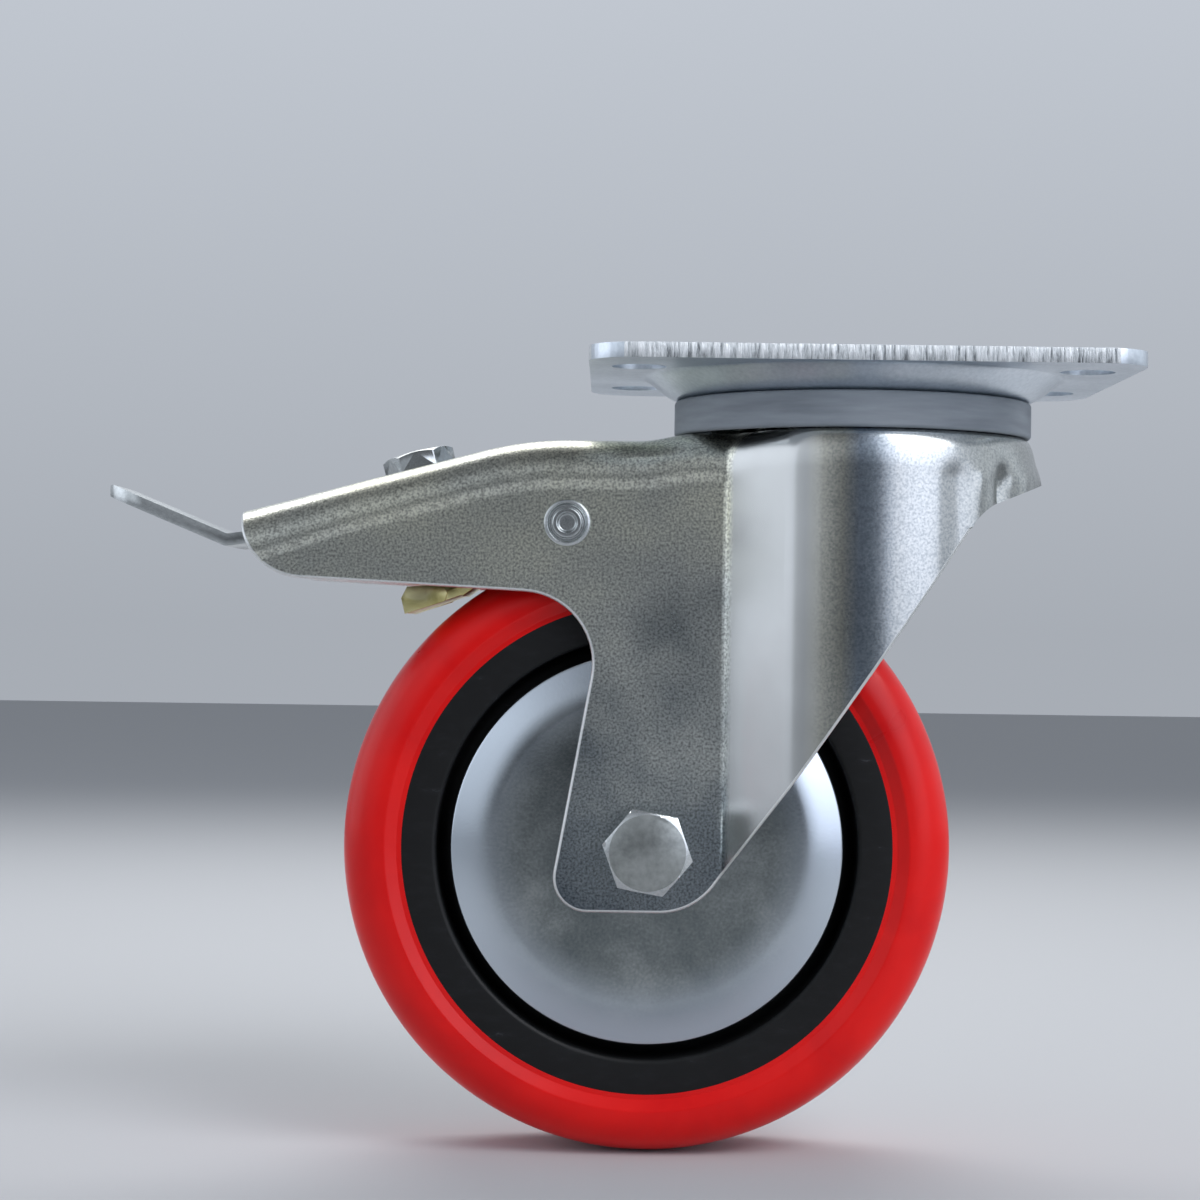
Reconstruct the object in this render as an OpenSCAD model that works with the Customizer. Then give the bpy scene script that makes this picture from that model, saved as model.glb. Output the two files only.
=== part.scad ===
// Braked swivel castor: a pressed top plate, a pressed steel fork with a rear brake arm,
// and a polyurethane wheel on two ball bearings. The pedal locks wheel and swivel together.
// The origin is the centre of the plate's top face, on the swivel axis, with +Z up.
// The wheel trails towards -X, and the near side of the castor is -Y. Sizes are in millimetres.

/* [Overall] */
// Height from the floor to the top face of the plate
total_h = 163; // [150:0.5:180]
// Height of the head: from the top of the tyre to the top face of the plate
head_h = 38; // [37.5:0.5:40]
// Offset of the wheel axle behind the swivel axis
trail = 42; // [41:0.5:42.5]

/* [Top plate] */
// Length of the plate along X
plate_l = 110; // [107:1:130]
// Width of the plate along Y
plate_w = 90; // [88:1:110]
// Sheet thickness of the plate
plate_t = 3; // [2.5:0.25:3.5]
// Corner radius of the plate
plate_corner_r = 10; // [4:1:12]
// Distance between bolt holes along X
hole_pitch_x = 90; // [88:1:94]
// Distance between bolt holes along Y
hole_pitch_y = 50; // [48:1:60]
// Diameter of the bolt holes
hole_d = 11; // [8.5:0.5:11]
// Depth of the pressed-down centre of the plate
boss_depth = 5; // [4.75:0.25:5.5]

/* [Swivel head] */
// Outer diameter of the grey seal ring
seal_d = 74.4; // [72:0.2:75]
// Diameter of the upper balls
upper_ball_d = 8; // [7.8:0.1:8.2]
// Diameter of the lower balls
lower_ball_d = 6.35; // [6.2:0.05:6.5]
// Number of upper balls
upper_ball_n = 20; // [16:1:20]
// Number of lower balls
lower_ball_n = 18; // [14:1:18]
// Number of lock notches in the lower race
notch_n = 24; // [20:4:24]
// Thread diameter of the king pin
king_pin_d = 12; // [10:0.5:12]

/* [Fork] */
// Sheet thickness of the fork
sheet_t = 3; // [2.75:0.25:3.25]
// Outer diameter of the round front of the fork
drum_d = 76.6; // [76:0.2:78]
// Outer width of the fork over its two side walls
fork_w = 41; // [41:0.5:43]
// Reach of the brake arm behind the bend in its roof
arm_len = 74.3; // [68:0.5:80]
// Downward slope of the brake arm's roof in degrees
arm_slope = 15; // [14:0.5:16]
// Corner roll of the roof edges
roll_r = 7.5; // [6:0.5:8]

/* [Wheel] */
// Width of the tyre
wheel_w = 32; // [30:0.5:32]
// Thickness of the tyre round the core
tyre_t = 11.9; // [11:0.1:13]
// Radial width of the core's rim, beside the tyre
rim_t = 7.5; // [6:0.5:8]
// Gap between a dust cover and the core's rim
cover_gap = 2.8; // [2:0.2:3.4]
// Diameter of the axle bolt
axle_d = 10; // [8:0.5:10]
// Number of balls in each wheel bearing
bearing_ball_n = 8; // [6:1:9]

/* [Brake] */
// Sheet thickness of the pedal
pedal_t = 2.5; // [2:0.25:3]
// Width of the pedal
pedal_w = 29; // [26:1:31]
// Diameter of the pedal pin
pin_d = 6; // [5:0.25:6]
// Diameter of the adjusting bolt
adjuster_d = 8; // [6:0.5:8]
// Thickness of the brake leaf
leaf_t = 2; // [1.5:0.25:2.25]
// Width of the brake leaf
leaf_w = 26; // [25:0.5:28]
// Gap between leaf and tyre with the brake off
leaf_gap = 1.5; // [1.5:0.1:1.8]

/* [Hidden] */
$fn = 96;

// Clearances
turn_gap = 0.3;
fit_gap = 0.05;

// Wheel and axle
wheel_d = total_h - head_h;
tyre_r = wheel_d / 2;
core_r = tyre_r - tyre_t;
rim_in = core_r - rim_t;
cover_r = rim_in - cover_gap;
axle_x = -trail;
axle_z = tyre_r - total_h;
core_face = wheel_w / 2 - 1;
tyre_shoulder_r = 8;
cover_t = 1.8;
cover_dome = 9;
cover_fall = 2.2;
axle_head_h = 6.4;
axle_nut_h = 10;
washer_t = 2;

// Swivel head, from the plate downwards
boss_z = -boss_depth - plate_t;
boss_r = seal_d / 2 + 0.3;
boss_flare_r = boss_r + 6.2;
seal_h = 7;
seal_wall = 2;
crown_z = boss_z - seal_h - turn_gap;
upper_race_r = 26.5;
upper_ball_z = (boss_z + crown_z) / 2;
crown_under_z = crown_z - sheet_t;
lower_race_r = 19.5;
lower_ball_z = crown_under_z - lower_ball_d / 2 + 0.6;
race_top_z = lower_ball_z - lower_ball_d / 2 + 0.6;
race_t = 3;
race_bottom_z = race_top_z - race_t;
notch_root_r = 25.2;
notch_w = 4.4;
king_shank_d = king_pin_d + 2;
king_head_d = 26;
king_nut_h = 10;
king_nut_af = king_pin_d + 7;

// Fork
drum_r = drum_d / 2;
drum_roll_h = 7.8;
drum_reach = 2.6;
roof_z = crown_z - 1.9;
wall_y = fork_w / 2;
wall_in = wall_y - sheet_t;
facet_a = 48.2;
facet_dist = 33.9;
race_rim_r = facet_dist - sheet_t - 0.6;
facet_drop = 0.9;
drum_drop = 0.4;
crown_pad_r = upper_race_r + upper_ball_d / 2 + 0.9;
bend_r = 70;
bend_x = -58.4;
bend_z = roof_z - bend_r;
arm_end_x = bend_x - arm_len;
arm_form_l = arm_len + 16;
arm_rake = 9.3;
arm_depth = 28.6;
leg_top_depth = 32;
leg_rear = 20.4;
leg_front = 9.8;
leg_foot = 12.7;
lip_x = 24;
lip_depth = 15.4;
apron_depth = 6.9;
form_bottom_z = axle_z - 25;

// Brake, the pin hangs from the roof of the arm
pin_x = -59.1;
pin_z = roof_z - 17.2;
leaf_r = tyre_r + leaf_gap;
leaf_from_a = 20.5;
leaf_to_a = 37;
leaf_lip = 12;
leaf_lip_a = 19.5;
slot_half = 8.2;
pedal_reach = 20.5;
pedal_tip_drop = 11.5;
pedal_bend_in = 3.7;
pedal_bend_drop = 21.4;
lobe_x = -6.6;
ear_y = 9.5;
ear_r = 4.8;
lobe_r = 1.6;
// The leaf's straight lip leaves the arc here, in X and Z
foot_out = [-sin(leaf_to_a - 0.5), cos(leaf_to_a - 0.5)];
leaf_foot = foot_out * (leaf_r + leaf_t / 2) + [axle_x, axle_z];
lip_along = [cos(leaf_lip_a), sin(leaf_lip_a)];
// The adjusting bolt stands square on the sloped roof, over a tab on the lip:
// its place behind the bend and the height of the tab follow from the lip
arm_along = [cos(arm_slope), sin(arm_slope)];
arm_up = [-arm_along[1], arm_along[0]];
adjuster_set = 2.7;
lip_hold = leaf_foot - lip_along * adjuster_set - [bend_x, bend_z];
adjuster_s = -lip_hold * arm_along;
adjuster_len = 19.5;
tab_h = bend_r - lip_hold * arm_up - adjuster_len - 2 * turn_gap;
tab_w = 12;
adjuster_af = adjuster_d + 5;
adjuster_head_h = 4;
adjuster_nut_h = 3.6;

// A polygon, listed anticlockwise, whose corners are rounded by the given radii
function unit(v) = v / norm(v);
function corner_in(p, i) = unit(p[(i + len(p) - 1) % len(p)] - p[i]);
function corner_out(p, i) = unit(p[(i + 1) % len(p)] - p[i]);
function corner_half(p, i) = acos(corner_in(p, i) * corner_out(p, i)) / 2;
function corner_turn(p, i) = cross(-corner_in(p, i), corner_out(p, i));
function corner_mid(p, r, i) =
    p[i] + unit(corner_in(p, i) + corner_out(p, i)) * r[i] / sin(corner_half(p, i));
function corner_start(p, r, i) = p[i] + corner_in(p, i) * r[i] / tan(corner_half(p, i));
function corner_end(p, r, i) = p[i] + corner_out(p, i) * r[i] / tan(corner_half(p, i));

// The slice of a corner's circle that lies between its two tangent points
module corner_slice(p, r, i) {
    mid = corner_mid(p, r, i);
    reach = 1.2 / sin(corner_half(p, i));
    intersection() {
        translate(mid) circle(r[i]);
        polygon([
            mid,
            mid + reach * (corner_start(p, r, i) - mid),
            mid + reach * (corner_end(p, r, i) - mid)
        ]);
    }
}

module rounded_outline(p, r) {
    corners = [for (i = [0 : len(p) - 1]) if (r[i] > 0) i];
    difference() {
        union() {
            polygon([
                for (i = [0 : len(p) - 1])
                    for (q = r[i] > 0 ? [corner_start(p, r, i), corner_end(p, r, i)] : [p[i]]) q
            ]);
            for (i = corners) if (corner_turn(p, i) > 0) corner_slice(p, r, i);
        }
        for (i = corners) if (corner_turn(p, i) < 0) corner_slice(p, r, i);
    }
}

// The same outline as one list of points, with each arc drawn by short straight steps
function arc_corner(p, r, i, steps = 10) = [
    for (k = [0 : steps])
        let(mid = corner_mid(p, r, i),
            from = corner_start(p, r, i) - mid,
            sweep = (180 - 2 * corner_half(p, i)) * sign(corner_turn(p, i)) * k / steps)
        mid + [from[0] * cos(sweep) - from[1] * sin(sweep), from[0] * sin(sweep) + from[1] * cos(sweep)]
];
function stepped_outline(p, r) = [
    for (i = [0 : len(p) - 1])
        for (q = r[i] > 0 ? arc_corner(p, r, i) : [p[i]]) q
];

// A flat sheet bar seen from its edge, from point a to point b, rounded at both ends
module bar(a, b, t) {
    along = unit(b - a);
    side = [-along[1], along[0]] * t / 2;
    polygon([a - side, b - side, b + side, a + side]);
    translate(a) circle(d = t, $fn = 32);
    translate(b) circle(d = t, $fn = 32);
}

// A shape drawn in X and Z, made w thick across Y and centred at y
module across(w, y = 0) {
    translate([0, y + w / 2, 0]) rotate([90, 0, 0]) linear_extrude(w) children();
}

// A shape drawn in Y and Z, extruded along +X
module along_x(l) {
    rotate([90, 0, 90]) linear_extrude(l) children();
}

// Places children on the wheel's axle, their Z along +Y
module on_axle() {
    translate([axle_x, 0, axle_z]) rotate([-90, 0, 0]) children();
}

// Places children on the axis of the adjusting bolt, their Z out of the roof and z = 0 on it
module on_adjuster() {
    translate([bend_x, 0, bend_z]) rotate([0, -arm_slope, 0])
        translate([-adjuster_s, 0, bend_r]) children();
}

module ring(r_out, r_in, z0, z1) {
    difference() {
        translate([0, 0, z0]) cylinder(r = r_out, h = z1 - z0);
        translate([0, 0, z0 - 1]) cylinder(r = r_in, h = z1 - z0 + 2);
    }
}

// Round groove of a ball race
module groove(r, z, ball_r) {
    rotate_extrude() translate([r, z]) circle(ball_r, $fn = 48);
}

module ball_circle(n, r, z, d) {
    for (i = [0 : n - 1])
        rotate([0, 0, 360 * (i + 0.5) / n]) translate([r, 0, z]) sphere(d = d, $fn = 48);
}

// Hexagon standing on z = 0, with its upper or both edges chamfered
module hexagon(af, h, both = false) {
    corner = af / sqrt(3);
    fall = (corner - af / 2 + 0.3) * tan(30);
    intersection() {
        cylinder(r = corner, h = h, $fn = 6);
        union() {
            translate([0, 0, h - fall]) cylinder(r1 = corner + 0.1, r2 = af / 2 - 0.3, h = fall);
            translate([0, 0, fall]) cylinder(r = corner + 0.1, h = h - 2 * fall);
            if (both) cylinder(r1 = af / 2 - 0.3, r2 = corner + 0.1, h = fall);
            else cylinder(r = corner + 0.1, h = fall);
        }
    }
}

// Nut: a hexagon chamfered on both sides, with its bore
module nut(af, h, bore_d) {
    difference() {
        hexagon(af, h, true);
        translate([0, 0, -1]) cylinder(d = bore_d, h = h + 2);
    }
}

// Swivel head

module top_plate() {
    half = [plate_l / 2, plate_w / 2];
    outline = [[-half[0], -half[1]], [half[0], -half[1]], [half[0], half[1]], [-half[0], half[1]]];
    rise = boss_depth / (boss_flare_r - boss_r);
    shift = plate_t * sqrt(1 + rise * rise) / rise - plate_t / rise;
    color("silver") difference() {
        intersection() {
            translate([0, 0, boss_z - 1]) linear_extrude(-boss_z + 1)
                rounded_outline(outline, [for (i = [0 : 3]) plate_corner_r]);
            union() {
                difference() {
                    translate([-plate_l, -plate_w, -plate_t]) cube([2 * plate_l, 2 * plate_w, plate_t]);
                    translate([0, 0, -plate_t - 1]) cylinder(r = boss_flare_r + 0.4, h = plate_t + 2);
                }
                rotate_extrude() polygon([
                    [king_shank_d / 2, boss_z],
                    [boss_r, boss_z],
                    [boss_flare_r, -plate_t],
                    [boss_flare_r + 0.5, -plate_t],
                    [boss_flare_r + 0.5, 0],
                    [boss_flare_r - shift, 0],
                    [boss_r - shift, -boss_depth],
                    [king_shank_d / 2, -boss_depth]
                ]);
            }
        }
        for (sx = [-1, 1], sy = [-1, 1])
            translate([sx * hole_pitch_x / 2, sy * hole_pitch_y / 2, -plate_t - 1])
                cylinder(d = hole_d, h = plate_t + 2);
        groove(upper_race_r, upper_ball_z, upper_ball_d / 2 + fit_gap);
    }
}

module king_pin() {
    tip_z = race_bottom_z - king_nut_h - 2;
    color("silver") {
        translate([0, 0, -boss_depth]) cylinder(d = king_head_d, h = boss_depth - 0.8);
        translate([0, 0, race_top_z]) cylinder(d = king_shank_d, h = -boss_depth - race_top_z);
        translate([0, 0, tip_z + 1]) cylinder(d = king_pin_d, h = race_top_z - tip_z - 1);
        translate([0, 0, tip_z]) cylinder(d1 = king_pin_d - 2, d2 = king_pin_d, h = 1);
    }
}

module king_nut() {
    color("silver") translate([0, 0, race_bottom_z - king_nut_h])
        nut(king_nut_af, king_nut_h, king_pin_d + 2 * fit_gap);
}

module lower_race() {
    color("silver") difference() {
        ring(race_rim_r, king_pin_d / 2 + fit_gap, race_bottom_z, race_top_z);
        groove(lower_race_r, lower_ball_z, lower_ball_d / 2 + fit_gap);
        for (i = [0 : notch_n - 1])
            rotate([0, 0, 360 * i / notch_n])
                translate([-race_rim_r - 2, -notch_w / 2, race_bottom_z - 1])
                    cube([race_rim_r - notch_root_r + 2, notch_w, race_t + 2]);
    }
}

module seal_ring() {
    r = seal_d / 2;
    color("slategray") rotate_extrude()
        rounded_outline(
            [[r - seal_wall, boss_z - seal_h], [r, boss_z - seal_h], [r, boss_z],
             [r - 4, boss_z], [r - 4, boss_z - 1.5], [r - seal_wall, boss_z - 1.5]],
            [0, 0.8, 0.8, 0, 0, 0]);
}

module upper_balls() {
    color("gainsboro") ball_circle(upper_ball_n, upper_race_r, upper_ball_z, upper_ball_d);
}

module lower_balls() {
    color("gainsboro") ball_circle(lower_ball_n, lower_race_r, lower_ball_z, lower_ball_d);
}

// Fork: a sheet pressing, drawn as an outer form less the same form set in by the sheet

// Steep shoulder under the seal ring: a quarter of an ellipse, drawn in short steps
function shoulder(r, top, reach, h) = [
    for (k = [0 : 6]) [r - reach * (1 - cos(15 * k)), top - h * (1 - sin(15 * k))]
];

// Section of the drum or a facet, from an inner edge out to r, with the shoulder at its top
module drum_section(inner, r, top, reach, h) {
    polygon(concat(
        [[inner, form_bottom_z], [r, form_bottom_z]],
        shoulder(r, top, reach, h),
        [[inner, top]]));
}

// Section of the channel in width and height, with both top edges rolled
module channel_section(half, bottom, top, roll) {
    rounded_outline([[-half, bottom], [half, bottom], [half, top], [-half, top]], [0, 0, roll, roll]);
}

// One straight run of the channel: step 0 is the level roof, the last step the sloped arm
module channel_run(half, roll, inset, step) {
    translate([bend_x, 0, bend_z]) rotate([0, -arm_slope * step / 3, 0]) translate([-arm_form_l, 0, 0])
        along_x(step == 0 ? arm_form_l - bend_x : 2 * arm_form_l)
            channel_section(half, -bend_r, bend_r - inset, roll);
}

module fork_form(inset) {
    top = crown_z - inset;
    half = wall_y - inset;
    roll = roll_r - inset;
    shoulder_h = drum_roll_h - inset;
    reach = drum_reach - 0.75 * inset;
    dist = facet_dist - inset;
    // Corners of the flat facet: with the drum, and with the side wall, measured along it
    drum_along = sqrt(pow(drum_r - inset, 2) - dist * dist);
    wall_along = (half - dist * cos(facet_a)) / sin(facet_a);
    drum_a = facet_a + 90 - atan2(drum_along, dist) + 0.3;
    rotate([0, 0, -drum_a]) rotate_extrude(angle = 2 * drum_a)
        drum_section(0, drum_r - inset, top - drum_drop, reach, shoulder_h);
    translate([0, 0, form_bottom_z + 60]) cylinder(r = crown_pad_r - inset, h = top - form_bottom_z - 60);
    for (side = [0, 1]) mirror([0, side, 0])
        rotate([0, 0, facet_a]) translate([wall_along, 0, 0]) along_x(drum_along - wall_along + 6)
            drum_section(9, dist, top - facet_drop, reach, shoulder_h);
    // Channel: the roof runs level over the wheel, then turns down in steps along the bend
    intersection() {
        channel_run(half, roll, inset, 0);
        channel_run(half, roll, inset, 1);
        channel_run(half, roll, inset, 2);
        channel_run(half, roll, inset, 3);
    }
}

// Side view of the pressing, anticlockwise from the top of the arm's rear end
module fork_side() {
    leg_bottom = axle_z - leg_foot;
    polygon(stepped_outline(
        [[arm_end_x, 0],
         [arm_end_x + arm_rake, roof_z - arm_depth],
         [axle_x - 9, roof_z - leg_top_depth],
         [axle_x - leg_rear, leg_bottom],
         [axle_x + leg_front, leg_bottom],
         [lip_x, crown_z - lip_depth],
         [drum_r + 7, crown_z - apron_depth],
         [drum_r + 7, 0]],
        [0, 13, 14.6, 7, 14, 12, 0, 0]));
}

module fork() {
    color("silver") difference() {
        intersection() {
            fork_form(0);
            across(3 * drum_r) fork_side();
        }
        fork_form(sheet_t);
        translate([0, 0, crown_under_z - 5]) cylinder(d = king_shank_d + 3, h = 20);
        groove(upper_race_r, upper_ball_z, upper_ball_d / 2 + turn_gap);
        groove(lower_race_r, lower_ball_z, lower_ball_d / 2 + turn_gap);
        on_axle() translate([0, 0, -wall_y - 5]) cylinder(d = axle_d + 2 * fit_gap, h = fork_w + 10);
        translate([pin_x, wall_y + 5, pin_z]) rotate([90, 0, 0])
            cylinder(d = pin_d + 2 * fit_gap, h = fork_w + 10);
        on_adjuster() translate([0, 0, -10]) cylinder(d = adjuster_d + 0.4, h = 20);
    }
}

// Axle

module axle_bolt() {
    end_y = wall_y + washer_t + axle_nut_h + 2;
    color("silver") on_axle() {
        translate([0, 0, -wall_y]) rotate([180, 0, 10]) hexagon(axle_d + 6, axle_head_h);
        translate([0, 0, -wall_y]) cylinder(d = axle_d, h = wall_y + end_y - 1);
        translate([0, 0, end_y - 1]) cylinder(d1 = axle_d, d2 = axle_d - 2, h = 1);
    }
}

module axle_washer() {
    color("silver") on_axle() ring(axle_d, axle_d / 2 + fit_gap, wall_y, wall_y + washer_t);
}

module axle_nut() {
    color("silver") on_axle() translate([0, 0, wall_y + washer_t])
        nut(axle_d + 6, axle_nut_h, axle_d + 2 * fit_gap);
}

// Wheel bearings: the rings and balls between hub and axle, drawn for the far side

bearing_r = 13;
bearing_w = 8;
bearing_in = 4;
inner_ring_r = 7.4;
outer_ring_r = 10.6;
bearing_ball_r = 2.2;
bearing_mid_r = (inner_ring_r + outer_ring_r) / 2;
bearing_mid = bearing_in + bearing_w / 2;

module at_side(side) {
    on_axle() mirror([0, 0, side > 0 ? 0 : 1]) children();
}

module spacer_tube() {
    color("silver") on_axle() ring(inner_ring_r, axle_d / 2 + fit_gap, -bearing_in, bearing_in);
}

module inner_ring(side) {
    color("gainsboro") at_side(side) difference() {
        ring(inner_ring_r, axle_d / 2 + fit_gap, bearing_in, bearing_in + bearing_w);
        groove(bearing_mid_r, bearing_mid, bearing_ball_r + 0.1);
    }
}

module outer_ring(side) {
    color("gainsboro") at_side(side) difference() {
        ring(bearing_r, outer_ring_r, bearing_in, bearing_in + bearing_w);
        groove(bearing_mid_r, bearing_mid, bearing_ball_r + 0.02);
    }
}

module bearing_balls(side) {
    color("gainsboro") at_side(side)
        ball_circle(bearing_ball_n, bearing_mid_r, bearing_mid, 2 * bearing_ball_r);
}

module near_inner_ring() { inner_ring(-1); }
module far_inner_ring() { inner_ring(1); }
module near_outer_ring() { outer_ring(-1); }
module far_outer_ring() { outer_ring(1); }
module near_bearing_balls() { bearing_balls(-1); }
module far_bearing_balls() { bearing_balls(1); }

// Dust covers, clamped between fork wall and bearing
module dust_cover(side) {
    r = cover_r;
    face = wall_in - 1.2;
    bottom = bearing_in + bearing_w;
    color("silver") at_side(side) {
        ring(inner_ring_r - 0.2, axle_d / 2 + fit_gap, bottom, wall_in);
        rotate_extrude() polygon(concat(
            [[axle_d / 2 + fit_gap, face - cover_t],
             [r - cover_dome, face - cover_t],
             [r - cover_t, face - cover_t - 1.4],
             [r - cover_t, face - cover_t - cover_fall],
             [r, face - cover_t - cover_fall]],
            [for (k = [5 : -1 : 0]) [r - cover_dome * (1 - k / 5), face - cover_fall * pow(k / 5, 2)]],
            [[axle_d / 2 + fit_gap, face]]));
    }
}

module near_dust_cover() { dust_cover(-1); }
module far_dust_cover() { dust_cover(1); }

// Wheel

module wheel_core() {
    hub_r = bearing_r + 4.5;
    hub_face = bearing_in + bearing_w + 0.2;
    color([0.12, 0.12, 0.13]) on_axle() {
        rotate_extrude() rounded_outline(
            [[rim_in, -core_face], [core_r, -core_face], [core_r, core_face], [rim_in, core_face]],
            [0.8, 0, 0, 0.8]);
        ring(rim_in + 1, hub_r - 1, -4, 4);
        difference() {
            translate([0, 0, -hub_face]) cylinder(r = hub_r, h = 2 * hub_face);
            translate([0, 0, -hub_face - 1]) cylinder(r = outer_ring_r, h = 2 * hub_face + 2);
            for (side = [0, 1]) mirror([0, 0, side])
                translate([0, 0, bearing_in]) cylinder(r = bearing_r, h = hub_face);
        }
        for (i = [0 : 7]) rotate([0, 0, 45 * i + 22.5])
            translate([hub_r - 1, -1.5, -9]) cube([rim_in - hub_r + 2, 3, 18]);
    }
}

module tyre() {
    half = wheel_w / 2;
    side_r = core_r + 3;
    color("firebrick") on_axle() rotate_extrude(convexity = 4) rounded_outline(
        [[core_r, -core_face], [side_r, -half], [tyre_r, -half], [tyre_r, half], [side_r, half],
         [core_r, core_face]],
        [0, 0, tyre_shoulder_r, tyre_shoulder_r, 0, 0]);
}

// Brake, drawn released. The pedal turns about its pin, its lobes press the leaf on the tyre,
// and its tooth rises into a notch of the lower race.

module pedal_pin() {
    color("silver") translate([pin_x, 0, pin_z]) rotate([-90, 0, 0]) {
        translate([0, 0, -wall_y - 1.4]) cylinder(d = pin_d, h = fork_w + 1.4);
        translate([0, 0, wall_y]) cylinder(d1 = pin_d + 4, d2 = pin_d, h = 2);
        difference() {
            translate([0, 0, -wall_y - 0.7]) cylinder(d = pin_d + 3.5, h = 0.7);
            translate([0, 0, -wall_y - 1]) cylinder(d = pin_d - 0.1, h = 1);
        }
    }
}

module brake_pedal() {
    tip = [arm_end_x - pedal_reach, roof_z - pedal_tip_drop];
    bend = [arm_end_x + pedal_bend_in, roof_z - pedal_bend_drop];
    over_pin = [pin_x, pin_z + ear_r + 1];
    tongue = [-32.5, pin_z + 1.6];
    tooth_top = race_bottom_z - 2;
    // Top of the leaf below the lobe, in the leaf's own circle about the axle
    lobe_at = pin_x + lobe_x;
    leaf_top = axle_z + sqrt(pow(leaf_r + leaf_t, 2) - pow(lobe_at - axle_x, 2));
    lobe_z = leaf_top + turn_gap + lobe_r;
    half = pedal_w / 2;
    color("silver") difference() {
        union() {
            intersection() {
                across(pedal_w + 2) {
                    bar(tip, bend, pedal_t);
                    bar(bend, over_pin, pedal_t);
                }
                translate([0, 0, form_bottom_z]) linear_extrude(-form_bottom_z) rounded_outline(
                    [[tip[0] - 1, -half], [pin_x + 2, -half], [pin_x + 2, half], [tip[0] - 1, half]],
                    [8, 2, 2, 8]);
            }
            across(12) bar(over_pin, tongue, pedal_t);
            across(3.4) polygon([
                tongue + [-6, 0],
                tongue + [4, -pedal_t / 2],
                [notch_root_r * -1 - 1.2, tongue[1] - pedal_t / 2],
                [notch_root_r * -1 - 1.2, tooth_top],
                [notch_root_r * -1 - 3.7, tooth_top],
                tongue + [2.5, pedal_t / 2]
            ]);
            for (side = [-1, 1]) across(pedal_t, side * (ear_y + pedal_t / 2)) {
                translate([pin_x, pin_z]) circle(ear_r);
                polygon([
                    [lobe_at - lobe_r, lobe_z],
                    [lobe_at + lobe_r, lobe_z],
                    [pin_x, pin_z],
                    [pin_x + ear_r, pin_z],
                    over_pin + [ear_r, -1],
                    over_pin,
                    over_pin + [-13, -1.9]
                ]);
                translate([lobe_at, lobe_z]) circle(lobe_r, $fn = 32);
            }
        }
        translate([pin_x, 50, pin_z]) rotate([90, 0, 0]) cylinder(d = pin_d + 2 * fit_gap, h = 100);
        on_adjuster() translate([0, 0, -25]) linear_extrude(25) rounded_outline(
            [[-12, -slot_half], [9, -slot_half], [9, slot_half], [-12, slot_half]], [5, 5, 5, 5]);
    }
}

module adjusting_bolt() {
    color("silver") on_adjuster() {
        hexagon(adjuster_af, adjuster_head_h);
        translate([0, 0, -adjuster_len]) cylinder(d = adjuster_d, h = adjuster_len + 1);
    }
}

module adjuster_nut() {
    color("silver") on_adjuster() translate([0, 0, -sheet_t - adjuster_nut_h])
        nut(adjuster_af, adjuster_nut_h, adjuster_d + 2 * fit_gap);
}

module brake_leaf() {
    // The lip runs straight on to the rear from inside the arc's lower end, less steep than the arc
    foot = leaf_foot;
    lip_up = [-lip_along[1], lip_along[0]] * leaf_t / 2;
    lip_end = foot - lip_along * leaf_lip;
    root_half = foot_out * (leaf_t / 2 - 0.1);
    tab_foot = lip_hold + [bend_x, bend_z];
    tab_half = arm_along * leaf_t * 0.6;
    color("goldenrod") {
        on_axle() rotate([0, 0, 270 - leaf_to_a]) rotate_extrude(angle = leaf_to_a - leaf_from_a)
            translate([leaf_r, -leaf_w / 2]) square([leaf_t, leaf_w]);
        across(leaf_w - 0.2)
            polygon([foot - root_half, foot + root_half, lip_end + lip_up, lip_end - lip_up]);
        // Tab on the lip, on which the adjusting bolt bears
        across(tab_w) polygon([
            tab_foot - tab_half - arm_up * 0.4,
            tab_foot + tab_half - arm_up * 0.4,
            tab_foot + tab_half + arm_up * tab_h,
            tab_foot - tab_half + arm_up * tab_h
        ]);
        for (side = [-1, 1]) across(1.8, side * (leaf_w / 2 + 0.6)) polygon([
            lip_end + [-0.2, -1],
            lip_end + [8, 1.7],
            lip_end + [8.4, 3.4],
            lip_end + [7.6, 5],
            lip_end + [0.2, 4.6],
            lip_end + [-1, 2.2]
        ]);
    }
}

top_plate();
king_pin();
king_nut();
lower_race();
seal_ring();
upper_balls();
lower_balls();
fork();
axle_bolt();
axle_washer();
axle_nut();
spacer_tube();
near_inner_ring();
far_inner_ring();
near_outer_ring();
far_outer_ring();
near_bearing_balls();
far_bearing_balls();
near_dust_cover();
far_dust_cover();
wheel_core();
tyre();
brake_pedal();
pedal_pin();
adjusting_bolt();
adjuster_nut();
brake_leaf();
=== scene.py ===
"""Braked castor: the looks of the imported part, in the part's own frame.

The near side is -Y, the wheel trails towards -X and the swivel axis is Z. Sizes are in millimetres,
and MM carries them to the metres of the scene.
"""

import math

import bpy
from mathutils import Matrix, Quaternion, Vector


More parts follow.
